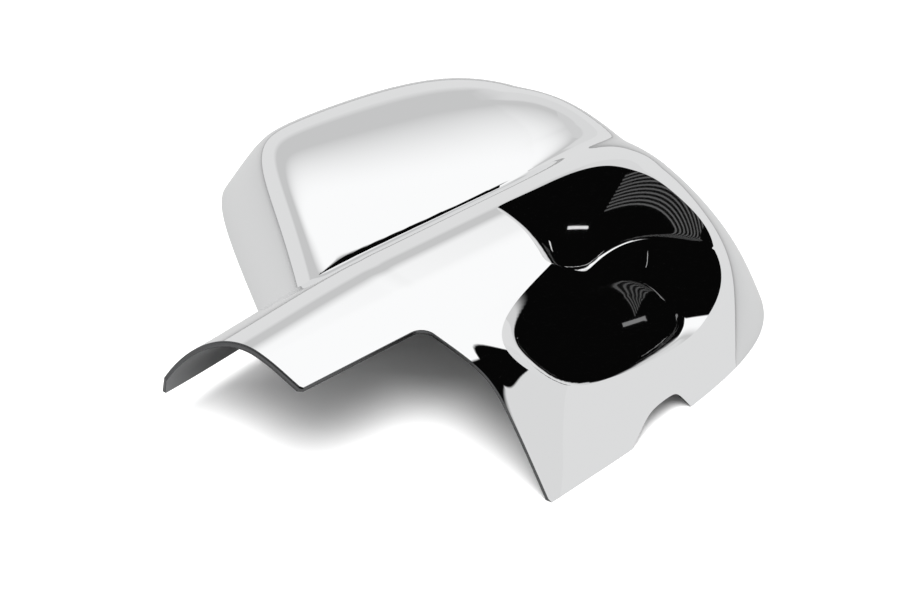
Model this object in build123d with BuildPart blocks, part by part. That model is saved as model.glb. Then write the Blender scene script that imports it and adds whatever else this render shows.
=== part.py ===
"""Wing mirror cover: one thin moulded shell lying on its open side.

The head is a rounded skirt with a crowned dome panel and, in front of it, a
beam that runs on past the head as a half-tube arm.  A crisp groove parts dome
and beam.  Outboard of the flat tongue the beam's front falls away into a scoop
with a recessed pocket, and a steep flank drops from there to the rim, where a
shallow notch is cut.  Both skins are formed by the same two height rules.
"""
import math
import os

from build123d import *

# Shell
wall = 2.2                # thickness of the moulding
rim_drop = 24.0           # how far the skins are carried below the rim before trimming

# Beam, tongue and arm; x runs outboard, y toward the dome, z up from the rim
tongue_z = 50.8           # height of the flat tongue
crest_rise = 1.9          # beam crest above the tongue
crest_y = 110.0           # beam crest line
crest_width = 24.0        # spread of the crest
back_z = 15.0             # lower edge of the arm's back wall
back_run = 48.5           # crest line to the arm's back wall
back_flare = 11.0         # the back wall swings out by this toward the head
arm_front_y = 82.5        # front edge of the arm
arm_reach = 68.0          # arm end beyond the inboard edge, at the front corner
arm_lean = 0.7            # the arm's end leans back by this per unit of height
arm_corner = 7.0          # rounding where the arm's front edge meets the inboard edge
arm_foot_x = 12.0         # the arm's back wall reaches the rim this far inboard

# Flat scoop beside the tongue
scoop_x = 78.0            # tongue's edge beside the scoop, at the arm's front edge
scoop_skew = 0.19         # that edge swings outboard toward the dome
scoop_z = 41.4            # floor of the scoop there
scoop_fall = 0.174        # fall of the floor toward the front
scoop_rise = 0.0165       # rise of the floor outboard

# Skirt
flank_slope = 1.43        # steepness of the front flank at the inboard edge
flank_gain = 0.48         # extra steepness further outboard
flank_splay = 0.013       # the flank's rim moves back by this per unit outboard
flank_set = 15.4          # sets the flank's rim on the inboard front corner
out_slope = 2.71          # steepness of the outboard wall
out_x = 220.0             # outboard rim
out_y = 98.0              # where that is taken
out_flare = 0.092         # outboard rim swings out toward the dome
out_bend_y = 160.0        # beyond here it bends back in
out_gain = 1.08           # extra height of the skirt outboard of the scoop
out_gain_y = 152.9        # that fades from here
out_bend = 0.00067
far_slope = 2.3           # steepness of the far wall
far_y = 313.5             # far rim at the inboard side
far_taper = 0.026         # far rim moves in by this per unit outboard
corner_far = 184.7        # roundness of the far outboard corner
corner_front = 184.5      # roundness of the front outboard corner
skirt_set = 12.5
shoulder_tight = 8.0      # softness of the shoulder over the flank
shoulder_front = 15.0     # the same right at the inboard edge
shoulder_dome = 17.0      # softness of the shoulder round the dome
shoulder_out = 63.2       # softness of the shoulder outboard of the scoop
shoulder_lift = 0.06

# Dome
dome_z = 45.4             # height of the dome panel outboard
dome_dip = 10.3           # it lies lower by this at the inboard edge
dome_dip_run = 46.9
crown_y = 203.2           # highest line of the panel
crown_radius = 702.1      # crown of the panel
left_y = 207.2            # where the dome's inboard rim crosses the inboard edge
left_lean = 0.444         # that rim leans outboard toward the far side
left_slope = 1.85         # steepness of the dome's inboard wall
left_soft = 12.3          # softness of its shoulder
left_corner = 60.8        # roundness of the far inboard corner
groove_y = 149.5          # groove line
groove_swing = 13.0       # it swings back by this at the inboard edge
groove_run = 22.0
groove_close = 15.0       # it closes in by this outboard, where it fades

# Dished pocket in the scoop
pocket_x = 73.0           # middle of its floor
pocket_y = 45.5
pocket_z = 34.4
pocket_half = 48.5        # half the floor's length
pocket_wide = 24.5        # half its width
pocket_turn = 9.0         # turn of the floor in plan, degrees
pocket_power = 2.8        # squareness of its outline
pocket_fall = 0.33        # fall of the floor toward the front
pocket_cant = 0.18        # fall of the floor outboard
pocket_lean = 62.0        # lean of the walls, degrees
pocket_high = 30.0        # height the pocket's cutter is carried to

# Notch in the flank's rim
notch_from = 52.5
notch_ramp = 17.0         # length of its sloping side
notch_to = 95.0
notch_end = 5.5           # length of its short side
notch_high = 9.8
notch_round = 3.0

# Reach of the skins before they are trimmed
past_rim = 8.0            # past the outboard rim
past_arm = 36.0           # past the arm's end
past_front = 16.0         # past the flank's rim
past_groove = 16.0        # beam skin past the groove, under the dome
under_beam = 10.0         # dome skin past the groove, under the beam
past_far = 14.0           # past the far rim
deep = 160.0              # skins are thickened downward by this, then trimmed
fit = 0.2                 # closeness asked of the fitted skins


def low(a: float, b: float, soft: float) -> float:
    """The lower of two heights with a rounded change-over."""
    return 0.5 * (a + b - math.sqrt((a - b) ** 2 + soft * soft))


def ramp(t: float, soft: float) -> float:
    """Zero below nought, rising with t above it, with a rounded start."""
    return 0.5 * (t + math.sqrt(t * t + soft * soft))


def ease(t: float, start: float, end: float) -> float:
    """Smooth change from nought to one between two places."""
    s = min(max((t - start) / (end - start), 0.0), 1.0)
    return s * s * (3.0 - 2.0 * s)


def far_wall(x: float, y: float) -> float:
    return far_slope * (far_y - far_taper * x - y)


def skirt(x: float, y: float) -> float:
    """Height of the walls that fall to the rim on the outboard, far and front sides."""
    bend = out_bend * max(y - out_bend_y, 0.0) ** 2
    outboard = out_slope * (out_x + out_flare * (y - out_y) - bend - x)
    back = low(outboard, far_wall(x, y), corner_far) + skirt_set
    steep = flank_slope + flank_gain * ease(x, 0.0, 45.0)
    height = low(back, steep * (y - flank_splay * x) + flank_set, corner_front)
    return height * (1.0 + out_gain * ease(x, 120.0, 190.0) * (1.0 - ease(y, out_gain_y, out_gain_y + 70.0)))


def shouldered(x: float, y: float, top: float) -> float:
    """A top height brought down to the rim by the skirt, over a soft shoulder."""
    front = shoulder_front + (shoulder_tight - shoulder_front) * ease(x, 4.0, 18.0)
    front += (shoulder_out - shoulder_tight) * ease(x, 110.0, 185.0)
    soft = front + (shoulder_dome - front) * ease(y, 130.0, 215.0)
    lift = soft * soft / (4.0 * tongue_z)
    z = low(top + shoulder_lift * soft - 1.0, skirt(x, y) + lift, soft)
    return ramp(z + rim_drop, 4.0) - rim_drop


def beam_skin(x: float, y: float) -> float:
    """Outer height of the beam, arm, tongue and flank."""
    s = (y - back_flare * ease(x, -110.0, 30.0) - crest_y) / back_run
    height = tongue_z + crest_rise - back_z
    if y < crest_y:
        top = tongue_z + crest_rise * math.exp(-(((y - crest_y) / crest_width) ** 2))
    else:
        u = min(max(s, 0.0), 0.985)
        fall = 0.985 / math.sqrt(1.0 - 0.985 ** 2)
        top = back_z + height * (math.sqrt(1.0 - u * u) - fall * max(s - 0.985, 0.0))
    return shouldered(x, y, top)


def groove_line(x: float) -> float:
    swing = groove_swing * math.exp(-max(x, -20.0) / groove_run)
    return groove_y + swing - groove_close * ease(x, 125.0, 180.0)


def dome_skin(x: float, y: float) -> float:
    """Outer height of the dome."""
    panel = dome_z - dome_dip * math.exp(-x / dome_dip_run) - (y - crown_y) ** 2 / (2.0 * crown_radius)
    inward = (x - left_lean * (y - left_y)) / math.hypot(1.0, left_lean)
    side = low(left_slope * inward + 2.0, far_wall(x, y) + 8.0, left_corner) + 3.0
    top = low(panel + 1.8, side, left_soft)
    return shouldered(x, y, top)


def inset(skin, x: float, y: float, depth: float) -> float:
    """The same skin set in by a depth measured square to it."""
    d = 0.4
    slope_x = (skin(x + d, y) - skin(x - d, y)) / (2.0 * d)
    slope_y = (skin(x, y + d) - skin(x, y - d)) / (2.0 * d)
    return skin(x, y) - depth * math.sqrt(1.0 + slope_x ** 2 + slope_y ** 2)


def spread(start: float, end: float, steps: int) -> list[float]:
    return [start + (end - start) * i / steps for i in range(steps + 1)]


def under(rows: list) -> Part:
    """Everything below a skin given by rows of points."""
    face = Face.make_surface_from_array_of_points(rows, tol=fit, min_deg=3, max_deg=3)
    return extrude(face, amount=deep, dir=(0, 0, -1), mode=Mode.PRIVATE)


def beam_body(depth: float) -> Part:
    """Body under the beam's skin, set in by a depth and carried past the trims by more."""
    more = 3.0 * depth
    rows = []
    for x in spread(-arm_reach - past_arm - 2.0 * more, out_x + past_rim + more, 44):
        bend = crest_y - 10.0
        places = spread(-past_front - more, bend, 22)[:-1]
        places += spread(bend, groove_line(x) + past_groove, 18)
        rows.append([(x, y, inset(beam_skin, x, y, depth)) for y in places])
    return under(rows)


def dome_body(depth: float) -> Part:
    """Body under the dome's skin, set in by a depth; its rows follow the groove."""
    more = 3.0 * depth
    rows = []
    for x in spread(-past_arm - more, out_x + past_rim + more, 44):
        start = groove_line(x) - under_beam
        places = spread(start, far_y + past_far + more, 30)
        rows.append([(x, y, inset(dome_skin, x, y, depth)) for y in places])
    return under(rows)


def scoop_body(depth: float) -> Part:
    """Room over the scoop's flat floor, set out by a depth."""
    across = (1.0, 0.0, scoop_rise)
    floor = Plane((scoop_x, arm_front_y, scoop_z), x_dir=across, z_dir=(-scoop_rise, -scoop_fall, 1.0))
    with BuildPart(mode=Mode.PRIVATE) as room:
        with BuildSketch(floor.offset(-depth)):
            with BuildLine():
                Polyline(
                    (-depth - scoop_skew * far_y, -far_y), (-depth + scoop_skew * far_y, far_y),
                    (out_x, far_y), (out_x, -far_y), close=True,
                )
            make_face()
        extrude(amount=tongue_z)
    return room.part


def pocket_body(depth: float) -> Part:
    """Room of the dished pocket, with its floor and walls set out by a depth."""
    lean = math.radians(pocket_lean)
    turn = math.radians(pocket_turn)
    along = (math.cos(turn), math.sin(turn), pocket_fall * math.sin(turn) - pocket_cant * math.cos(turn))
    floor = Plane((pocket_x, pocket_y, pocket_z), x_dir=along, z_dir=(pocket_cant, -pocket_fall, 1.0))
    with BuildPart(mode=Mode.PRIVATE) as room:
        for height in (-depth, pocket_high):
            grow = height * math.tan(lean) + depth / math.cos(lean)
            power = 2.0 / pocket_power
            outline = []
            for angle in spread(0.0, 2.0 * math.pi, 28)[:-1]:
                side = math.copysign(abs(math.cos(angle)) ** power, math.cos(angle))
                back = math.copysign(abs(math.sin(angle)) ** power, math.sin(angle))
                outline.append(((pocket_half + grow) * side, (pocket_wide + grow) * back))
            with BuildSketch(floor.offset(height)):
                with BuildLine():
                    Spline(*outline, periodic=True)
                make_face()
        loft()
    return room.part


with BuildPart() as cover:
    add(beam_body(0.0))
    add(scoop_body(0.0), mode=Mode.SUBTRACT)
    add(pocket_body(0.0), mode=Mode.SUBTRACT)
    Box(4 * out_x, 4 * far_y, deep, align=(Align.CENTER, Align.CENTER, Align.MIN), mode=Mode.INTERSECT)

    with BuildPart(mode=Mode.PRIVATE) as dome:
        add(dome_body(0.0))
        Box(4 * out_x, 4 * far_y, deep, align=(Align.CENTER, Align.CENTER, Align.MIN), mode=Mode.INTERSECT)
    add(dome.part)

    # Inboard edge and the arm's front edge
    with BuildSketch(Plane.XY.offset(-back_z)):
        with Locations((0, arm_front_y)):
            Rectangle(2 * out_x, far_y, align=(Align.MAX, Align.MAX))
        fillet(vertices().sort_by_distance((0, arm_front_y, -back_z))[0], radius=arm_corner)
    extrude(amount=deep, mode=Mode.SUBTRACT)

    # Leaning end of the arm
    with BuildSketch(Plane.XZ):
        with BuildLine():
            Polyline(
                (-arm_reach - arm_lean * (tongue_z + past_rim), -past_rim),
                (-arm_reach + arm_lean * past_rim, tongue_z + past_rim),
                (-2 * out_x, tongue_z + past_rim), (-2 * out_x, -past_rim), close=True,
            )
        make_face()
    extrude(amount=2 * far_y, both=True, mode=Mode.SUBTRACT)

    # Lower edge of the arm's back wall
    with Locations((-arm_foot_x, 0, back_z)):
        Box(2 * out_x, 4 * far_y, 4 * back_z, align=(Align.MAX, Align.CENTER, Align.MAX), mode=Mode.SUBTRACT)

    # Hollow inside
    with BuildPart(mode=Mode.PRIVATE) as hollow:
        add(beam_body(wall))
        add(scoop_body(wall), mode=Mode.SUBTRACT)
        add(pocket_body(wall), mode=Mode.SUBTRACT)
    add(hollow.part, mode=Mode.SUBTRACT)
    add(dome_body(wall), mode=Mode.SUBTRACT)

    # Notch in the flank's rim
    with BuildSketch(Plane.XZ):
        with BuildLine():
            Polyline(
                (notch_from - notch_ramp, -notch_high), (notch_from + notch_ramp, notch_high),
                (notch_to - notch_end, notch_high), (notch_to + notch_end, -notch_high), close=True,
            )
        make_face()
        fillet(vertices().group_by(Axis.Y)[-1], radius=notch_round)
    extrude(amount=arm_front_y / 2, both=True, mode=Mode.SUBTRACT)

# The cover lies with its overall box centred over the origin
moulding = cover.part.solids().sort_by(SortBy.VOLUME)[-1]
box = moulding.bounding_box()
cover.part = moulding.moved(Location((-box.center().X, -box.center().Y, -box.min.Z)))

os.makedirs("parts", exist_ok=True)
cover.part.label = "mirror_cover"
export_step(cover.part, "parts/mirror_cover.step")
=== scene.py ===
"""Looks of a wing mirror cover: a bright-plated shell lying on a pale table.

The shell is laid out again as a fine mesh from nearly the same height rules as
the CAD part, because a mirror finish shows every facet.  Lengths of the form are
in millimetres, as in the CAD source; the mesh is in metres, in the row frame.
"""
import logging
import math
from dataclasses import dataclass, field
from enum import Enum
from typing import Callable

import bpy
import numpy as np
from mathutils import Matrix, Vector


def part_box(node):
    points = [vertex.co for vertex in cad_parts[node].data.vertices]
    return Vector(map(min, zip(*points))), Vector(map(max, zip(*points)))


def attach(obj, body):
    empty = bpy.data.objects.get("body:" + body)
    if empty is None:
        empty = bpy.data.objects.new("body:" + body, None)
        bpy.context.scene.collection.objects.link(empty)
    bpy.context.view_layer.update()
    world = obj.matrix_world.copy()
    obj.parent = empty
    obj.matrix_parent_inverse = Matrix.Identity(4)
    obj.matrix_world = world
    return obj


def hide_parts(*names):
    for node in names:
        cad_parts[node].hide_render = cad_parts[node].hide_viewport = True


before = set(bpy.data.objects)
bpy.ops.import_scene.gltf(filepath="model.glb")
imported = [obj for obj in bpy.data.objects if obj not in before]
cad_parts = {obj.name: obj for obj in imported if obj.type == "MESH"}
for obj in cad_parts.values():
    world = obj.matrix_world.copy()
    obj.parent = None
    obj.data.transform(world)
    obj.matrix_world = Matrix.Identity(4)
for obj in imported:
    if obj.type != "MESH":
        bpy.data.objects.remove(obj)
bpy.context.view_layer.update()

log = logging.getLogger("mirror_cover")
MM = 0.001
TINY = 1e-9
TINY_AREA = 1e-12
OUTLINE_ROUNDS = 8
OUTLINE_FLAT = 1e-6
OUTLINE_LEAST = 1.0
OUTLINE_STRIDE = 20.0
Array = np.ndarray
Span = tuple[float, float]
Color = tuple[float, float, float]
Face = tuple[int, ...]
Rule = Callable[[Array, Array], Array]


def low(a: Array, b: Array, soft: Array | float) -> Array:
    """Lower of two heights with a rounded change-over.

    Args:
        a: First height.
        b: Second height.
        soft: Width of the rounding.

    Returns:
        The blended height.
    """
    return 0.5 * (a + b - np.sqrt((a - b) ** 2 + soft * soft))


def ramp(t: Array, soft: float) -> Array:
    """Zero below nought and rising with t above it.

    Args:
        t: Distance past the start.
        soft: Width of the rounded start.

    Returns:
        The ramp's height.
    """
    return 0.5 * (t + np.sqrt(t * t + soft * soft))


def ease(t: Array, start: float, end: float) -> Array:
    """Smooth change from nought to one.

    Args:
        t: Place.
        start: Place where the change begins.
        end: Place where it is complete.

    Returns:
        Share of the change made.
    """
    s = np.clip((t - start) / (end - start), 0.0, 1.0)
    return s * s * (3.0 - 2.0 * s)


class Skin(Enum):
    """Which rule a stretch of the outer face follows."""

    BEAM = 0
    SCOOP = 1
    POCKET = 2
    DOME = 3


class Side(Enum):
    """Which side of the shell a face is on, numbered as its material is."""

    OUTER = 0
    INSIDE = 1
    CUT_EDGE = 2


@dataclass(frozen=True)
class ShellForm:
    """Outer face of the cover as heights over the rim plane.

    x runs outboard from the inboard edge, y from the flank toward the dome.
    A pair of numbers is a stretch over which something changes.
    """

    wall: float = 2.2
    tongue_z: float = 50.8
    crest_rise: float = 1.9
    crest_y: float = 110.0
    crest_width: float = 24.0
    back_z: float = 15.0
    back_run: float = 48.5
    back_limit: float = 0.985
    back_flare: float = 11.0
    back_flare_x: Span = (-110.0, 30.0)
    arm_front_y: float = 82.5
    arm_reach: float = 68.0
    arm_lean: float = 0.7
    arm_corner: float = 7.0
    arm_foot_x: float = 12.0
    scoop_x: float = 86.5
    scoop_y: float = 118.0
    scoop_bow: float = 0.0082
    scoop_z: float = 42.5
    scoop_fall: float = 0.174
    scoop_rise: float = 0.0165
    scoop_wall: float = 1.7
    scoop_foot: float = 1.5
    scoop_turn: float = 80.0
    scoop_turn_slope: float = 3.0
    scoop_turn_soft: float = 4.0
    scoop_past: float = 9.0
    flank_slope: float = 1.43
    flank_gain: float = 0.48
    flank_gain_x: Span = (0.0, 45.0)
    flank_splay: float = 0.013
    flank_set: float = 15.4
    out_slope: float = 2.71
    out_x: float = 220.0
    out_gain: float = 1.08
    out_gain_x: Span = (120.0, 190.0)
    out_gain_y: float = 152.9
    out_gain_run: float = 70.0
    out_y: float = 98.0
    out_flare: float = 0.092
    out_bend_y: float = 160.0
    out_bend: float = 0.00067
    far_slope: float = 2.3
    far_y: float = 313.5
    far_taper: float = 0.026
    corner_far: float = 184.7
    corner_front: float = 184.5
    skirt_set: float = 12.5
    shoulder_front: float = 15.0
    shoulder_tight: float = 8.0
    shoulder_tight_x: Span = (4.0, 18.0)
    shoulder_dome: float = 17.0
    shoulder_dome_y: Span = (130.0, 215.0)
    shoulder_out: float = 63.2
    shoulder_out_x: Span = (110.0, 185.0)
    shoulder_lift: float = 0.06
    shoulder_drop: float = 1.0
    dome_z: float = 45.4
    dome_dip: float = 10.3
    dome_dip_run: float = 46.9
    dome_set: float = 1.8
    dive_y: float = 118.0
    dive_slope: float = 1.5
    dive_soft: float = 2.0
    crown_y: float = 203.2
    crown_radius: float = 702.1
    left_y: float = 207.2
    left_lean: float = 0.444
    left_slope: float = 1.85
    left_set: float = 2.0
    left_soft: float = 12.3
    left_corner: float = 60.8
    side_far_set: float = 8.0
    side_set: float = 3.0
    groove_blend: float = 4.0
    groove_fade_x: Span = (110.0, 165.0)
    groove_line: float = 0.28
    groove_fine: float = 0.8
    bead_high: float = 0.125
    bead_fine: float = 0.6
    fine_reach: Span = (-0.3, 40.0)
    pocket_x: float = 73.0
    pocket_y: float = 45.5
    pocket_z: float = 34.4
    pocket_half: float = 48.5
    pocket_wide: float = 24.5
    pocket_turn: float = 9.0
    pocket_power: float = 2.8
    pocket_fall: float = 0.33
    pocket_cant: float = 0.18
    pocket_lean: float = 62.0
    pocket_foot: float = 1.5
    pocket_core: float = 0.6
    notch_from: float = 52.5
    notch_ramp: float = 17.0
    notch_ramp_ease: float = 1.15
    notch_to: float = 95.0
    notch_end: float = 5.5
    notch_end_ease: float = 2.0
    notch_high: float = 9.8
    notch_round: float = 3.0

    def far_wall(self, x: Array, y: Array) -> Array:
        """Height of the far wall.

        Args:
            x: Places outboard.
            y: Places toward the dome.

        Returns:
            The heights.
        """
        return self.far_slope * (self.far_y - self.far_taper * x - y)

    def skirt(self, x: Array, y: Array) -> Array:
        """Height of the walls that fall to the rim outboard, far and in front.

        Args:
            x: Places outboard.
            y: Places toward the dome.

        Returns:
            The heights.
        """
        bend = self.out_bend * np.maximum(y - self.out_bend_y, 0.0) ** 2
        outboard = self.out_slope * (self.out_x + self.out_flare * (y - self.out_y) - bend - x)
        back = low(outboard, self.far_wall(x, y), self.corner_far) + self.skirt_set
        steep = self.flank_slope + self.flank_gain * ease(x, *self.flank_gain_x)
        front = steep * (y - self.flank_splay * x) + self.flank_set
        near = 1.0 - ease(y, self.out_gain_y, self.out_gain_y + self.out_gain_run)
        gain = self.out_gain * ease(x, *self.out_gain_x) * near
        return low(back, front, self.corner_front) * (1.0 + gain)

    def shouldered(self, x: Array, y: Array, top: Array) -> Array:
        """Brings a top down to the rim over a soft shoulder.

        Args:
            x: Places outboard.
            y: Places toward the dome.
            top: Heights of the top there.

        Returns:
            The heights.
        """
        tight = (self.shoulder_tight - self.shoulder_front) * ease(x, *self.shoulder_tight_x)
        out = (self.shoulder_out - self.shoulder_tight) * ease(x, *self.shoulder_out_x)
        front = self.shoulder_front + tight + out
        soft = front + (self.shoulder_dome - front) * ease(y, *self.shoulder_dome_y)
        lift = soft * soft / (4.0 * self.tongue_z)
        return low(top + self.shoulder_lift * soft - self.shoulder_drop, self.skirt(x, y) + lift, soft)

    def beam(self, x: Array, y: Array) -> Array:
        """Height of the beam, arm, tongue and flank.

        Args:
            x: Places outboard.
            y: Places toward the dome.

        Returns:
            The heights.
        """
        s = (y - self.back_flare * ease(x, *self.back_flare_x) - self.crest_y) / self.back_run
        high = self.tongue_z + self.crest_rise - self.back_z
        limit = self.back_limit
        u = np.clip(s, 0.0, limit)
        fall = limit / math.sqrt(1.0 - limit ** 2)
        behind = self.back_z + high * (np.sqrt(1.0 - u * u) - fall * np.maximum(s - limit, 0.0))
        ahead = self.tongue_z + self.crest_rise * np.exp(-(((y - self.crest_y) / self.crest_width) ** 2))
        return self.shouldered(x, y, np.where(y < self.crest_y, ahead, behind))

    def dome(self, x: Array, y: Array) -> Array:
        """Height of the dome.

        Args:
            x: Places outboard.
            y: Places toward the dome.

        Returns:
            The heights.
        """
        dip = self.dome_dip * np.exp(-x / self.dome_dip_run)
        dive = self.dive_slope * ramp(self.dive_y - y, self.dive_soft)
        panel = self.dome_z - dip - dive - (y - self.crown_y) ** 2 / (2.0 * self.crown_radius)
        inward = (x - self.left_lean * (y - self.left_y)) / math.hypot(1.0, self.left_lean)
        left = self.left_slope * inward + self.left_set
        side = low(left, self.far_wall(x, y) + self.side_far_set, self.left_corner) + self.side_set
        return self.shouldered(x, y, low(panel + self.dome_set, side, self.left_soft))

    def scoop(self, x: Array, y: Array) -> Array:
        """Height of the scoop's flat floor and of the wall up to the tongue.

        Args:
            x: Places outboard.
            y: Places toward the dome.

        Returns:
            The heights.
        """
        edge = self.scoop_x - self.scoop_bow * (y - self.scoop_y) ** 2 - x
        turned = edge + self.scoop_turn_slope * ramp(self.scoop_turn - y, self.scoop_turn_soft)
        inward = np.where(y < self.pocket_y, self.scoop_past, turned)
        tilt = self.scoop_rise * (x - self.pocket_x) + self.scoop_fall * (y - self.arm_front_y)
        floor = self.scoop_z + tilt
        return floor + self.scoop_wall * ramp(inward, self.scoop_foot)

    def pocket(self, x: Array, y: Array) -> Array:
        """Height of the dished pocket's floor and of the walls leaning up from it.

        Args:
            x: Places outboard.
            y: Places toward the dome.

        Returns:
            The heights.
        """
        turn = math.radians(self.pocket_turn)
        dx, dy = x - self.pocket_x, y - self.pocket_y
        across = np.abs(dx * math.cos(turn) + dy * math.sin(turn))
        back = np.abs(dy * math.cos(turn) - dx * math.sin(turn))
        n = self.pocket_power
        grow = np.maximum(across - self.pocket_half, back - self.pocket_wide)
        for _ in range(OUTLINE_ROUNDS):
            a = np.maximum(self.pocket_half + grow, OUTLINE_LEAST)
            b = np.maximum(self.pocket_wide + grow, OUTLINE_LEAST)
            total = (across / a) ** n + (back / b) ** n + TINY
            slope = total ** (1.0 / n - 1.0) * ((across / a) ** n / a + (back / b) ** n / b)
            step = (total ** (1.0 / n) - 1.0) / np.maximum(slope, OUTLINE_FLAT)
            grow = grow + np.clip(step, -OUTLINE_STRIDE, OUTLINE_STRIDE)
            grow = np.maximum(grow, -self.pocket_core * self.pocket_wide)
        floor = self.pocket_z + self.pocket_fall * dy - self.pocket_cant * dx
        return floor + ramp(grow, self.pocket_foot) / math.tan(math.radians(self.pocket_lean))

    def sunk(self, x: Array, y: Array) -> Array:
        """Height of scoop and pocket together.

        Args:
            x: Places outboard.
            y: Places toward the dome.

        Returns:
            The heights.
        """
        scoop, pocket = self.scoop(x, y), self.pocket(x, y)
        return np.minimum(scoop, pocket) + self.bead(np.abs(pocket - scoop))

    def bead(self, gap: Array) -> Array:
        """Height of the fine bead where scoop and pocket meet.

        Args:
            gap: How far the other face lies above.

        Returns:
            The heights.
        """
        return self.bead_high * np.exp(-np.clip(gap, *self.fine_reach) / self.bead_fine)

    def line(self, x: Array, gap: Array) -> Array:
        """Depth of the fine line at the groove's foot.

        Args:
            x: Places outboard.
            gap: How far the other face lies below.

        Returns:
            The depths.
        """
        deep = self.groove_line * (1.0 - ease(x, *self.groove_fade_x))
        return deep * np.exp(-np.clip(gap, *self.fine_reach) / self.groove_fine)

    def rule(self, skin: Skin) -> Rule:
        """Finds the height rule that a stretch of the face follows.

        Args:
            skin: The stretch.

        Returns:
            The rule.
        """
        if skin is Skin.POCKET:
            return self.pocket
        if skin is Skin.SCOOP:
            return lambda x, y: self.scoop(x, y) + self.bead(self.pocket(x, y) - self.scoop(x, y))
        own, other = (self.beam, self.dome) if skin is Skin.BEAM else (self.dome, self.beam)

        def lined(x: Array, y: Array) -> Array:
            """Height of beam or dome with the groove's fine line.

            Args:
                x: Places outboard.
                y: Places toward the dome.

            Returns:
                The heights.
            """
            face = np.where(self.blend(x) > 0.0, self.joined(x, y), own(x, y))
            return face - self.line(x, own(x, y) - other(x, y))

        return lined

    def blend(self, x: Array) -> Array:
        """Width over which dome and beam run together.

        Args:
            x: Places outboard.

        Returns:
            The widths, nought where the groove is crisp.
        """
        return self.groove_blend * ease(x, *self.groove_fade_x)

    def joined(self, x: Array, y: Array) -> Array:
        """Height of beam and dome, run together where the groove fades.

        Args:
            x: Places outboard.
            y: Places toward the dome.

        Returns:
            The heights.
        """
        return -low(-self.beam(x, y), -self.dome(x, y), self.blend(x))

    def height(self, x: Array, y: Array) -> Array:
        """Height of the finished outer face.

        Args:
            x: Places outboard.
            y: Places toward the dome.

        Returns:
            The heights.
        """
        beam, dome = self.beam(x, y), self.dome(x, y)
        cut = np.minimum(self.joined(x, y), self.sunk(x, y))
        return np.maximum(cut, dome) - self.line(x, np.abs(beam - dome))

    def trim(self, x: Array, y: Array, z: Array) -> Array:
        """Room to the nearest trim.

        Args:
            x: Places outboard.
            y: Places toward the dome.
            z: Heights.

        Returns:
            The room, above nought where the moulding is and below where it is cut away.
        """
        r = self.arm_corner
        a = x + r
        b = y - self.arm_front_y + r
        quarter = np.hypot(np.maximum(a, 0.0), np.maximum(b, 0.0)) - r + np.minimum(np.maximum(a, b), 0.0)
        end = x + self.arm_reach - self.arm_lean * (z - self.tongue_z)
        foot = np.maximum(z - self.back_z, x + self.arm_foot_x)
        near = ((x - self.notch_from) * self.notch_high / self.notch_ramp - z) / self.notch_ramp_ease
        far = ((self.notch_to - x) * self.notch_high / self.notch_end - z) / self.notch_end_ease
        notch = -low(low(near, self.notch_high - z, self.notch_round), far, self.notch_round)
        notch = np.maximum(notch, y - self.arm_front_y / 2)
        return np.minimum.reduce([z, quarter, end, foot, notch])


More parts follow.
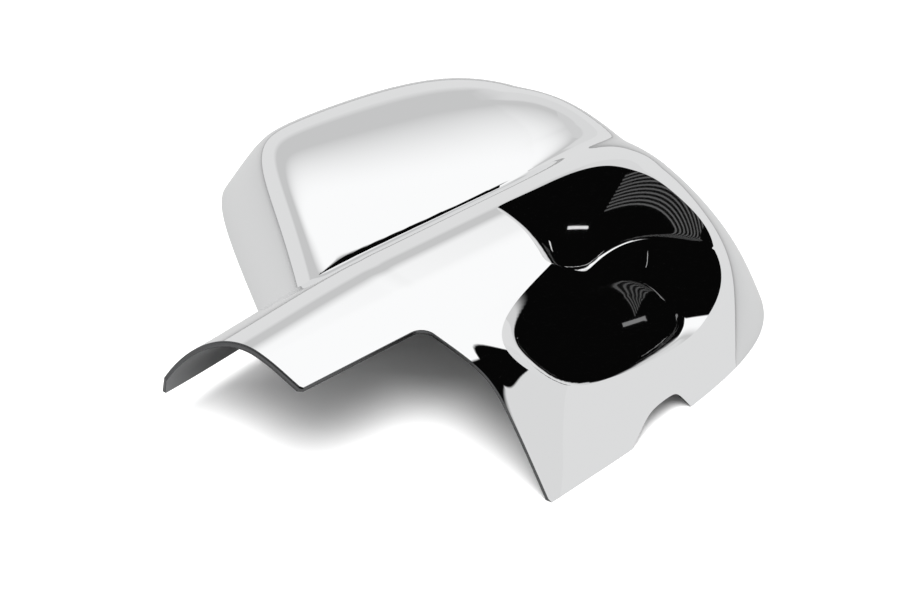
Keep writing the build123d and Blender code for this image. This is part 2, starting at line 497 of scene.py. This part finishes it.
@dataclass
class ShellMesh:
    """Quad mesh of the shell whose lines follow the trims, the groove and the pocket's edges.

    A plain grid in plan is snapped onto those lines, then lifted to the face's height.
    """

    form: ShellForm
    edge_round: float = 0.9
    step: float = 1.4
    x_span: Span = (-97.0, 230.0)
    y_span: Span = (-4.0, 308.0)
    slope_step: float = 0.05
    cut_step: float = 0.01
    snap_rounds: int = 4
    snap_stride: float = 0.2
    least_along: float = 0.45
    xy: Array = field(init=False)
    held: Array = field(init=False)

    def __post_init__(self) -> None:
        """Lays the plain grid out."""
        xs = np.arange(*self.x_span, self.step)
        ys = np.arange(*self.y_span, self.step)
        self.xy = np.stack(np.meshgrid(xs, ys, indexing="ij"), -1)
        self.held = np.zeros(self.xy.shape[:2], bool)

    def gradient(self, rule: Rule, p: Array) -> tuple[Array, Array]:
        """Slopes of a rule along x and y.

        Args:
            rule: Height rule.
            p: Places, as rows of x and y.

        Returns:
            Slope along x and slope along y.
        """
        x, y, d = p[..., 0], p[..., 1], self.slope_step
        along_x = (rule(x + d, y) - rule(x - d, y)) / (2 * d)
        along_y = (rule(x, y + d) - rule(x, y - d)) / (2 * d)
        return along_x, along_y

    def snap(self, rule: Rule, live: Array | None = None) -> Array:
        """Moves the grid points nearest to the rule's zero line onto it.

        Args:
            rule: Rule whose zero line is followed.
            live: Grid points that may be moved, or None for all of them.

        Returns:
            Sign of the rule at each grid point, nought on the line.
        """
        level = rule(self.xy[..., 0], self.xy[..., 1])
        best = np.full(level.shape, np.inf)
        target = self.xy.copy()
        for axis in (0, 1):
            lo = tuple(slice(None, -1) if k == axis else slice(None) for k in (0, 1))
            hi = tuple(slice(1, None) if k == axis else slice(None) for k in (0, 1))
            crossing = level[lo] * level[hi] < 0.0
            share = level[lo] / np.where(crossing, level[lo] - level[hi], np.inf)
            point = self.xy[lo] + share[..., None] * (self.xy[hi] - self.xy[lo])
            for part, reach in ((lo, share), (hi, 1.0 - share)):
                nearer = crossing & (reach <= 0.5) & (reach < best[part])
                best[part] = np.where(nearer, reach, best[part])
                target[part] = np.where(nearer[..., None], point, target[part])
        move = np.isfinite(best) & ~self.held
        if live is not None:
            move &= live
        p = target[move]
        stride = self.snap_stride * self.step
        for _ in range(self.snap_rounds):
            gx, gy = self.gradient(rule, p)
            pull = rule(p[:, 0], p[:, 1]) / np.maximum(gx * gx + gy * gy, TINY)
            p = p - np.clip(np.stack([pull * gx, pull * gy], -1), -stride, stride)
        self.xy[move] = p
        self.held |= move
        sign = np.sign(level)
        sign[move] = 0.0
        return sign

    def lines(self) -> tuple[Array, list[Array]]:
        """Snaps the grid onto the trims and onto the creases inside them.

        Returns:
            Sign of the trim rule at each grid point, and the signs of the crease rules.
        """
        form = self.form
        top = form.rule(Skin.BEAM)
        plan: Rule = lambda x, y: form.trim(x, y, form.height(x, y))
        scoop: Rule = lambda x, y: np.minimum(top(x, y), form.pocket(x, y)) - form.scoop(x, y)
        pocket: Rule = lambda x, y: np.minimum(top(x, y), form.scoop(x, y)) - form.pocket(x, y)
        groove: Rule = lambda x, y: np.minimum(form.beam(x, y), form.sunk(x, y)) - form.dome(x, y)
        trims = self.snap(plan)
        inside = trims >= 0
        return trims, [self.snap(rule, inside) for rule in (groove, scoop, pocket)]

    def cells(self, trims: Array, creases: list[Array]) -> list[Face]:
        """Faces of the outer skin inside the trims, split where a line crosses a cell.

        Args:
            trims: Sign of the trim rule at each grid point.
            creases: Signs of the crease rules.

        Returns:
            Faces as grid point numbers.
        """
        number = np.arange(trims.size).reshape(trims.shape)
        around = (number[:-1, :-1], number[1:, :-1], number[1:, 1:], number[:-1, 1:])
        corners = np.stack(around, -1).reshape(-1, len(around))
        corners = corners[(trims.ravel()[corners] > 0).any(1)]
        lines = [trims.ravel(), *(c.ravel() for c in creases)]
        faces: list[Face] = []
        for quad in corners.tolist():
            parts: list[Face] = [tuple(quad)]
            for line in lines:
                s = [line[k] for k in quad]
                if min(s) < 0 < max(s):
                    odd = 0 if s[0] == 0 and s[2] == 0 else 1 if s[1] == 0 and s[3] == 0 else None
                    if odd is not None:
                        q = quad[odd:] + quad[:odd]
                        parts = [(q[0], q[1], q[2]), (q[0], q[2], q[3])]
                        break
            for part in parts:
                s = [lines[0][k] for k in part]
                if min(s) >= 0 < max(s):
                    faces.append(part)
        return faces

    def corner_normals(self, p: Array, faces: list[Face]) -> list[Array]:
        """Normals at the corners of each face, by the rule that the face follows.

        Args:
            p: Places of the outer face's points in plan.
            faces: Faces of the outer skin.

        Returns:
            One row of normals per corner, for each face.
        """
        form = self.form
        normals = {}
        for skin in Skin:
            gx, gy = self.gradient(form.rule(skin), p)
            n = np.stack([-gx, -gy, np.ones(len(p))], -1)
            normals[skin] = n / np.linalg.norm(n, axis=1, keepdims=True)
        middle = np.array([p[list(f)].mean(0) for f in faces])
        cut = (Skin.BEAM, Skin.SCOOP, Skin.POCKET)
        heights = np.stack([form.rule(skin)(*middle.T) for skin in cut])
        owner = np.where(form.dome(*middle.T) > heights.min(0), Skin.DOME.value, heights.argmin(0))
        return [normals[Skin(int(o))][list(f)] for f, o in zip(faces, owner)]

    def border(self, faces: list[Face]) -> list[tuple[int, int]]:
        """Edges that only one face has.

        Args:
            faces: Faces of the outer skin.

        Returns:
            The edges, each as two point numbers.
        """
        edges: dict[tuple[int, int], None] = {}
        for f in faces:
            for a, b in zip(f, f[1:] + f[:1]):
                if (b, a) in edges:
                    del edges[(b, a)]
                else:
                    edges[(a, b)] = None
        return list(edges)

    def inset(self, rim: Array, normal: Array) -> Array:
        """Inner points along a cut edge, kept in the plane of the cut.

        Args:
            rim: Points of the outer face on its trims.
            normal: Normals of the outer face there.

        Returns:
            The inner points.
        """
        d = self.cut_step
        x, y, z = rim.T
        trim = self.form.trim
        cut = np.stack([
            trim(x + d, y, z) - trim(x - d, y, z),
            trim(x, y + d, z) - trim(x, y - d, z),
            trim(x, y, z + d) - trim(x, y, z - d),
        ], -1)
        cut /= np.maximum(np.linalg.norm(cut, axis=1, keepdims=True), TINY)
        along = normal - (normal * cut).sum(1, keepdims=True) * cut
        size = np.maximum((along * along).sum(1, keepdims=True), self.least_along)
        return rim - self.form.wall * along / size

    def edge_normals(self, points: Array, edges: list[Face], mean: Array) -> list[tuple[float, ...]]:
        """Normals of the cut edges, turned a little toward both faces so that the edges look rounded.

        Args:
            points: All points of the shell, the outer face's first.
            edges: Faces of the cut edges.
            mean: Normals at the outer face's points.

        Returns:
            One normal per corner.
        """
        count = len(mean)
        normals: list[tuple[float, ...]] = []
        for quad in edges:
            a, b, c = (points[k] for k in quad[:3])
            flat = np.cross(b - a, c - a)
            flat /= max(np.linalg.norm(flat), TINY_AREA)
            for k in quad:
                turned = flat + self.edge_round * (mean[k] if k < count else -mean[k - count])
                normals.append(tuple(turned / np.linalg.norm(turned)))
        return normals

    def build(self, name: str) -> bpy.types.Object:
        """Makes the closed shell.

        Args:
            name: Name of the object.

        Returns:
            The shell, in metres and in the form's own frame.
        """
        faces = self.cells(*self.lines())
        used = sorted({k for f in faces for k in f})
        index = {k: i for i, k in enumerate(used)}
        faces = [tuple(index[k] for k in f) for f in faces]
        p = self.xy.reshape(-1, 2)[used]
        outer = np.column_stack([p, self.form.height(p[:, 0], p[:, 1])])
        corner = self.corner_normals(p, faces)
        mean = np.zeros_like(outer)
        for f, c in zip(faces, corner):
            mean[list(f)] += c
        mean /= np.linalg.norm(mean, axis=1, keepdims=True)

        border = self.border(faces)
        rim = sorted({k for edge in border for k in edge})
        inner = outer - self.form.wall * mean
        inner[rim] = self.inset(outer[rim], mean[rim])
        inner[:, 2] = np.maximum(inner[:, 2], 0.0)
        count = len(outer)
        points = np.vstack([outer, inner]) * MM

        inside = [tuple(k + count for k in reversed(f)) for f in faces]
        edges = [(b, a, a + count, b + count) for a, b in border]
        sides = {Side.OUTER: faces, Side.INSIDE: inside, Side.CUT_EDGE: edges}
        loops = [f for side in Side for f in sides[side]]
        normals: list[tuple[float, ...]] = [tuple(n) for c in corner for n in c]
        normals += [tuple(-n) for c in corner for n in c[::-1]]
        normals += self.edge_normals(points, edges, mean)
        mesh = bpy.data.meshes.new(name)
        mesh.from_pydata(points.tolist(), [], loops)
        mesh.polygons.foreach_set("use_smooth", np.ones(len(loops), bool))
        mesh.normals_split_custom_set(normals)
        material = np.array([side.value for side in Side for _ in sides[side]], np.int32)
        mesh.polygons.foreach_set("material_index", material)
        shell = bpy.data.objects.new(name, mesh)
        bpy.context.scene.collection.objects.link(shell)
        log.info("shell: %d faces, %d border edges", len(loops), len(border))
        return shell


@dataclass(frozen=True)
class Finish:
    """A surface finish made of plain values."""

    name: str
    color: Color
    metallic: float
    roughness: float

    def build(self) -> bpy.types.Material:
        """Makes the material.

        Returns:
            The material.
        """
        material = bpy.data.materials.new(self.name)
        material.use_nodes = True
        shader = material.node_tree.nodes["Principled BSDF"]
        shader.inputs["Base Color"].default_value = (*self.color, 1.0)
        shader.inputs["Metallic"].default_value = self.metallic
        shader.inputs["Roughness"].default_value = self.roughness
        return material


FINISHES_AND_PAINTED_SHADE = {
    Side.OUTER: Finish("bright plating", (0.92, 0.925, 0.93), 1.0, 0.012),
    # inside: dull plating, with its colour darkened as painted shade for the shadow under the shell
    Side.INSIDE: Finish("dull plating with painted shade", (0.36, 0.365, 0.37), 1.0, 0.3),
    # cut edges: near-black colour as a painted dark reflection line, where bright plating would show
    Side.CUT_EDGE: Finish("edge with painted dark reflection", (0.13, 0.132, 0.135), 1.0, 0.16),
}
TABLE = Finish("pale table", (0.9, 0.9, 0.9), 0.0, 0.6)
LAMP_CARD = Finish("lamp glow", (0.0, 0.0, 0.0), 0.0, 1.0)


@dataclass
class MirrorCover:
    """The cover: its shell and its finishes, with painted shade inside and on the cut edges."""

    form: ShellForm
    node: str = "mirror_cover"
    slot: str = "plated_shell"
    shift: Vector = field(init=False)

    def build(self) -> bpy.types.Object:
        """Lays the shell out where the CAD part lies.

        Returns:
            The shell.
        """
        shell = ShellMesh(self.form).build("mirror_cover_shell")
        co = np.zeros(len(shell.data.vertices) * 3)
        shell.data.vertices.foreach_get("co", co)
        co = co.reshape(-1, 3)
        lo, hi = (np.array(v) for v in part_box(self.node))
        outboard = hi[0] - co[:, 0].max()
        middle = (lo[1] + hi[1]) / 2 - (co[:, 1].min() + co[:, 1].max()) / 2
        self.shift = Vector((outboard, middle, -co[:, 2].min()))
        shell.data.transform(Matrix.Translation(self.shift))
        log.info("shift %s, size %s, CAD size %s", self.shift, co.max(0) - co.min(0), hi - lo)
        return shell

    def dress(self, shell: bpy.types.Object) -> None:
        """Gives the shell its finishes, with painted shade inside and on the cut edges, and its place in
        the frame.

        Args:
            shell: The built shell.
        """
        for side in Side:
            shell.data.materials.append(FINISHES_AND_PAINTED_SHADE[side].build())
        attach(shell, "root")
        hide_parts(self.node)


def value(tree: bpy.types.NodeTree, operation: str, *terms: object) -> bpy.types.NodeSocket:
    """Adds one sum to a node tree.

    Args:
        tree: Tree to add to.
        operation: Name of the math operation.
        terms: Sockets or plain numbers.

    Returns:
        The result's socket.
    """
    node = tree.nodes.new("ShaderNodeMath")
    node.operation = operation
    for socket, term in zip(node.inputs, terms):
        if isinstance(term, bpy.types.NodeSocket):
            tree.links.new(term, socket)
        else:
            socket.default_value = float(term)
    return node.outputs[0]


class Mix(Enum):
    """Kinds of mix, each with its data type, first input's number and output's number."""

    NUMBER = ("FLOAT", 2, 0)
    COLOR = ("RGBA", 6, 2)

    def add(self, tree: bpy.types.NodeTree, share: bpy.types.NodeSocket,
            first: object, second: object) -> bpy.types.NodeSocket:
        """Adds a mix of two terms to a node tree.

        Args:
            tree: Tree to add to.
            share: Socket that gives the share of the second term.
            first: Socket or plain value.
            second: Socket or plain value.

        Returns:
            The result's socket.
        """
        node = tree.nodes.new("ShaderNodeMix")
        node.data_type, start, result = self.value
        tree.links.new(share, node.inputs[0])
        for number, term in enumerate((first, second), start):
            if isinstance(term, bpy.types.NodeSocket):
                tree.links.new(term, node.inputs[number])
            else:
                node.inputs[number].default_value = term
        return node.outputs[result]


@dataclass(frozen=True)
class Panel:
    """A bright part of the studio, as ranges of direction in degrees.

    Azimuth 0 is the picture's right and 90 is away from the camera.  Each end of
    a range fades over its own width.
    """

    azimuth: Span
    elevation: Span
    azimuth_soft: Span
    elevation_soft: Span
    level: float


CRISP = 0.01
NADIR = -90.0
PANELS = (
    Panel((-180.0, 180.0), (NADIR, 18.0), (CRISP, CRISP), (CRISP, 2.0), 0.77),
    Panel((-70.0, -4.0), (NADIR, 49.0), (8.0, 6.0), (CRISP, 4.0), 0.74),
    Panel((-4.0, 80.0), (NADIR, 24.0), (CRISP, CRISP), (CRISP, 4.0), 0.66),
    Panel((62.0, 81.0), (NADIR, 33.0), (4.0, CRISP), (CRISP, 4.0), 0.66),
    Panel((62.0, 93.0), (NADIR, 27.0), (4.0, 10.0), (CRISP, 5.0), 0.73),
    Panel((79.0, 172.0), (NADIR, 24.0), (3.0, 20.0), (CRISP, 17.0), 0.77),
    Panel((79.0, 172.0), (NADIR, 49.5), (3.0, 20.0), (CRISP, 1.5), 0.6),
    Panel((79.0, 140.0), (26.0, 49.0), (3.0, 34.0), (24.0, 1.5), 1.04),
)


@dataclass
class Studio:
    """Table, light and what the plating mirrors; lengths are in metres."""

    right: Vector
    away: Vector
    dark: float = 0.002
    ambient: float = 1.0
    backdrop: float = 1.0
    mirrored_table: float = 0.4
    table_size: float = 12.0
    softbox_size: float = 1.4
    softbox_watts: float = 44.0
    softbox_high: float = 1.65
    softbox_near: float = 0.55
    softbox_left: float = 0.05
    aim_high: float = 0.02

    def edge(self, tree: bpy.types.NodeTree, angle: bpy.types.NodeSocket,
             at: float, soft: float) -> bpy.types.NodeSocket:
        """Adds a soft rise from nought to one at an angle; a soft below nought falls instead.

        Args:
            tree: Tree to add to.
            angle: Angle's socket, in degrees.
            at: Middle of the rise.
            soft: Width of the rise.

        Returns:
            The share's socket.
        """
        node = tree.nodes.new("ShaderNodeMapRange")
        node.interpolation_type = "SMOOTHSTEP"
        node.clamp = True
        tree.links.new(angle, node.inputs["Value"])
        node.inputs["From Min"].default_value = at - abs(soft) / 2
        node.inputs["From Max"].default_value = at + abs(soft) / 2
        node.inputs["To Min"].default_value = 0.0 if soft > 0 else 1.0
        node.inputs["To Max"].default_value = 1.0 if soft > 0 else 0.0
        return node.outputs["Result"]

    def mirrored(self, tree: bpy.types.NodeTree) -> bpy.types.NodeSocket:
        """Adds the panels as a level that depends on direction.

        Args:
            tree: The world's tree.

        Returns:
            The level's socket.
        """
        where = tree.nodes.new("ShaderNodeTexCoord").outputs["Generated"]
        split = []
        for axis in (self.right, self.away, Vector((0.0, 0.0, 1.0))):
            dot = tree.nodes.new("ShaderNodeVectorMath")
            dot.operation = "DOT_PRODUCT"
            tree.links.new(where, dot.inputs[0])
            dot.inputs[1].default_value = axis
            split.append(dot.outputs["Value"])
        azimuth = value(tree, "DEGREES", value(tree, "ARCTAN2", split[1], split[0]))
        elevation = value(tree, "DEGREES", value(tree, "ARCSINE", split[2]))
        level: object = self.dark
        for panel in PANELS:
            share: object = panel.level
            for angle, span, soft in ((azimuth, panel.azimuth, panel.azimuth_soft),
                                      (elevation, panel.elevation, panel.elevation_soft)):
                share = value(tree, "MULTIPLY", self.edge(tree, angle, span[0], soft[0]), share)
                share = value(tree, "MULTIPLY", self.edge(tree, angle, span[1], -soft[1]), share)
            level = value(tree, "MAXIMUM", share, level)
        return level

    def surround(self) -> None:
        """Makes the world: white for the camera, even for diffuse light, and panels for mirrored rays."""
        world = bpy.data.worlds.new("studio")
        bpy.context.scene.world = world
        world.use_nodes = True
        tree = world.node_tree
        tree.nodes.clear()
        path = tree.nodes.new("ShaderNodeLightPath").outputs
        around = Mix.NUMBER.add(tree, path["Is Glossy Ray"], self.ambient, self.mirrored(tree))
        level = Mix.NUMBER.add(tree, path["Is Camera Ray"], around, self.backdrop)
        background = tree.nodes.new("ShaderNodeBackground")
        background.inputs["Color"].default_value = (1.0, 1.0, 1.0, 1.0)
        tree.links.new(level, background.inputs["Strength"])
        out = tree.nodes.new("ShaderNodeOutputWorld")
        tree.links.new(background.outputs[0], out.inputs["Surface"])

    def table(self) -> None:
        """Lays the pale table under the cover."""
        bpy.ops.mesh.primitive_plane_add(size=self.table_size)
        table = bpy.context.object
        table.name = "table"
        table.data.materials.append(self.table_finish())

    def table_finish(self) -> bpy.types.Material:
        """Makes the table's finish, which the plating mirrors greyer than it looks.

        Returns:
            The material.
        """
        material = TABLE.build()
        tree = material.node_tree
        glossy = tree.nodes.new("ShaderNodeLightPath").outputs["Is Glossy Ray"]
        greyer = tuple(self.mirrored_table * c for c in TABLE.color)
        color = Mix.COLOR.add(tree, glossy, (*TABLE.color, 1.0), (*greyer, 1.0))
        tree.links.new(color, tree.nodes["Principled BSDF"].inputs["Base Color"])
        return material

    def light(self) -> None:
        """Hangs a soft light above the cover, on the camera's side."""
        data = bpy.data.lights.new("softbox", "AREA")
        data.shape = "RECTANGLE"
        data.size = self.softbox_size
        data.size_y = self.softbox_size
        data.energy = self.softbox_watts
        lamp = bpy.data.objects.new("softbox", data)
        target = Vector((0.0, 0.0, self.aim_high))
        lamp.location = target - self.away * self.softbox_near - self.right * self.softbox_left
        lamp.location.z += self.softbox_high
        lamp.rotation_euler = (target - lamp.location).to_track_quat("-Z", "Y").to_euler()
        lamp.visible_glossy = False
        bpy.context.scene.collection.objects.link(lamp)


@dataclass
class PhotoCamera:
    """Camera at the photograph's viewing angle, placed in the form's own frame in millimetres."""

    place: tuple[float, float, float] = (-597.2, -607.1, 699.3)
    heading: float = 41.9
    elevation: float = 35.0
    lens: float = 100.0
    sensor: float = 36.0
    near: float = 10.0

    def axes(self) -> tuple[Vector, Vector]:
        """Level directions toward the picture's right and away from the camera.

        Returns:
            The two directions.
        """
        a = math.radians(self.heading)
        return Vector((math.cos(a), -math.sin(a), 0.0)), Vector((math.sin(a), math.cos(a), 0.0))

    def build(self, shift: Vector) -> bpy.types.Object:
        """Makes the camera.

        Args:
            shift: Move from the form's own frame to the row frame, in metres.

        Returns:
            The camera.
        """
        data = bpy.data.cameras.new("camera")
        data.lens = self.lens
        data.sensor_width = self.sensor
        data.sensor_fit = "HORIZONTAL"
        data.clip_start = self.near * MM
        camera = bpy.data.objects.new("camera", data)
        camera.location = Vector(self.place) * MM + shift
        e = math.radians(self.elevation)
        _, away = self.axes()
        look = away * math.cos(e) - Vector((0.0, 0.0, math.sin(e)))
        camera.rotation_euler = look.to_track_quat("-Z", "Y").to_euler()
        bpy.context.scene.collection.objects.link(camera)
        bpy.context.scene.camera = camera
        return camera


@dataclass(frozen=True)
class Lamp:
    """A slatted lamp that the dark part of the plating mirrors.

    The spot is the place in plan, in millimetres, where the camera sees it
    mirrored.  Its own sizes are in millimetres and its turn is in degrees.
    """

    spot: Span
    skin: Skin
    wide: float
    high: float
    slats: int
    thick: float
    bend: float
    turn: float
    level: float


LAMPS = (
    Lamp((147.0, 84.0), Skin.SCOOP, 75.9, 36.3, 10, 1.485, 23.1, -30.0, 0.1),
    Lamp((99.0, 60.0), Skin.POCKET, 37.26, 21.06, 8, 1.053, 11.34, -24.0, 0.08),
    Lamp((110.2, 98.7), Skin.SCOOP, 15.57, 0.82, 1, 2.46, 0.0, -3.0, 0.8),
    Lamp((92.0, 43.0), Skin.POCKET, 19.34, 0.81, 1, 3.22, 0.0, 18.0, 0.2),
    Lamp((122.9, 65.8), Skin.POCKET, 22.88, 0.82, 1, 2.45, 0.0, 14.0, 0.5),
)


@dataclass
class LampRack:
    """Hangs the lamps where the camera sees them mirrored; the camera does not see them themselves."""

    form: ShellForm
    camera: bpy.types.Object
    shift: Vector
    reach: float = 0.9
    slope_step: float = 0.5
    slat_points: int = 16

    def louvre(self) -> bpy.types.NodeTree:
        """Makes the node tree that repeats one bent slat up the lamp.

        Returns:
            The tree.
        """
        tree = bpy.data.node_groups.new("louvre", "GeometryNodeTree")
        face = tree.interface
        face.new_socket("Geometry", in_out="OUTPUT", socket_type="NodeSocketGeometry")
        face.new_socket("Slats", in_out="INPUT", socket_type="NodeSocketInt")
        for name in ("Wide", "High", "Thick", "Bend"):
            face.new_socket(name, in_out="INPUT", socket_type="NodeSocketFloat")
        face.new_socket("Glow", in_out="INPUT", socket_type="NodeSocketMaterial")
        new, link = tree.nodes.new, tree.links.new
        given = new("NodeGroupInput").outputs
        line = new("GeometryNodeMeshLine")
        link(given["Slats"], line.inputs["Count"])
        for name, rise in (("Start Location", value(tree, "MULTIPLY", given["High"], -0.5)),
                           ("Offset", value(tree, "DIVIDE", given["High"], given["Slats"]))):
            up = new("ShaderNodeCombineXYZ")
            link(rise, up.inputs["Y"])
            link(up.outputs[0], line.inputs[name])
        slat = new("GeometryNodeMeshGrid")
        link(given["Wide"], slat.inputs["Size X"])
        link(given["Thick"], slat.inputs["Size Y"])
        slat.inputs["Vertices X"].default_value = self.slat_points
        slat.inputs["Vertices Y"].default_value = 2
        place = new("ShaderNodeSeparateXYZ")
        link(new("GeometryNodeInputPosition").outputs[0], place.inputs[0])
        out = value(tree, "DIVIDE", value(tree, "MULTIPLY", place.outputs["X"], 2.0), given["Wide"])
        arch = value(tree, "SUBTRACT", 1.0, value(tree, "MULTIPLY", out, out))
        lift = new("ShaderNodeCombineXYZ")
        link(value(tree, "MULTIPLY", arch, given["Bend"]), lift.inputs["Y"])
        bent = new("GeometryNodeSetPosition")
        link(slat.outputs["Mesh"], bent.inputs["Geometry"])
        link(lift.outputs[0], bent.inputs["Offset"])
        copies = new("GeometryNodeInstanceOnPoints")
        link(line.outputs["Mesh"], copies.inputs["Points"])
        link(bent.outputs["Geometry"], copies.inputs["Instance"])
        real = new("GeometryNodeRealizeInstances")
        link(copies.outputs["Instances"], real.inputs["Geometry"])
        finish = new("GeometryNodeSetMaterial")
        link(real.outputs["Geometry"], finish.inputs["Geometry"])
        link(given["Glow"], finish.inputs["Material"])
        link(finish.outputs["Geometry"], new("NodeGroupOutput").inputs["Geometry"])
        return tree

    def pose(self, lamp: Lamp) -> Matrix:
        """Finds where the lamp hangs.

        Args:
            lamp: The lamp.

        Returns:
            The lamp's matrix.
        """
        x, y = np.array([lamp.spot[0]]), np.array([lamp.spot[1]])
        rule, d = self.form.rule(lamp.skin), self.slope_step
        slope_x = (rule(x + d, y) - rule(x - d, y))[0] / (2 * d)
        slope_y = (rule(x, y + d) - rule(x, y - d))[0] / (2 * d)
        normal = Vector((-slope_x, -slope_y, 1.0)).normalized()
        spot = Vector((x[0], y[0], rule(x, y)[0])) * MM + self.shift
        view = self.camera.rotation_euler.to_matrix()
        turned = view @ Matrix.Rotation(math.radians(lamp.turn), 3, "Z")
        axes = [v.reflect(normal) for v in (turned.col[0], turned.col[1])]
        basis = Matrix((axes[0], axes[1], axes[0].cross(axes[1]))).transposed()
        away = (spot - self.camera.location).normalized().reflect(normal)
        return Matrix.Translation(spot + away * self.reach) @ basis.to_4x4()

    def glow(self, level: float) -> bpy.types.Material:
        """Makes a lamp's finish.

        Args:
            level: Brightness.

        Returns:
            The material.
        """
        material = LAMP_CARD.build()
        shader = material.node_tree.nodes["Principled BSDF"]
        shader.inputs["Emission Color"].default_value = (level, level, level, 1.0)
        shader.inputs["Emission Strength"].default_value = 1.0
        return material

    def card(self, lamp: Lamp, tree: bpy.types.NodeTree) -> bpy.types.Mesh:
        """Makes a lamp's mesh from the louvre tree.

        Args:
            lamp: The lamp.
            tree: The louvre tree.

        Returns:
            The plain mesh.
        """
        items = tree.interface.items_tree
        sockets = {item.name: item.identifier for item in items if item.in_out == "INPUT"}
        rig = bpy.data.objects.new("lamp rig", bpy.data.meshes.new("lamp rig"))
        bpy.context.scene.collection.objects.link(rig)
        modifier = rig.modifiers.new("louvre", "NODES")
        modifier.node_group = tree
        modifier[sockets["Slats"]] = lamp.slats
        sizes = {"Wide": lamp.wide, "High": lamp.high, "Thick": lamp.thick, "Bend": lamp.bend}
        for name, size in sizes.items():
            modifier[sockets[name]] = size * MM
        modifier[sockets["Glow"]] = self.glow(lamp.level)
        graph = bpy.context.evaluated_depsgraph_get()
        mesh = bpy.data.meshes.new_from_object(rig.evaluated_get(graph))
        rig.modifiers.clear()
        bpy.data.objects.remove(rig)
        return mesh

    def hang(self) -> None:
        """Makes all lamps."""
        tree = self.louvre()
        for number, lamp in enumerate(LAMPS, 1):
            piece = bpy.data.objects.new(f"lamp {number}", self.card(lamp, tree))
            piece.matrix_world = self.pose(lamp)
            piece.visible_camera = False
            piece.visible_diffuse = False
            piece.visible_shadow = False
            bpy.context.scene.collection.objects.link(piece)
        log.info("%d lamps", len(LAMPS))


def main() -> None:
    """Builds the cover, the studio and the camera."""
    logging.basicConfig(level=logging.INFO)
    cover = MirrorCover(ShellForm())
    shell = cover.build()
    cover.dress(shell)
    camera = PhotoCamera()
    studio = Studio(*camera.axes())
    studio.surround()
    studio.table()
    studio.light()
    LampRack(cover.form, camera.build(cover.shift), cover.shift).hang()
    bpy.context.scene.view_settings.view_transform = "Standard"


if __name__ == "__main__":
    main()
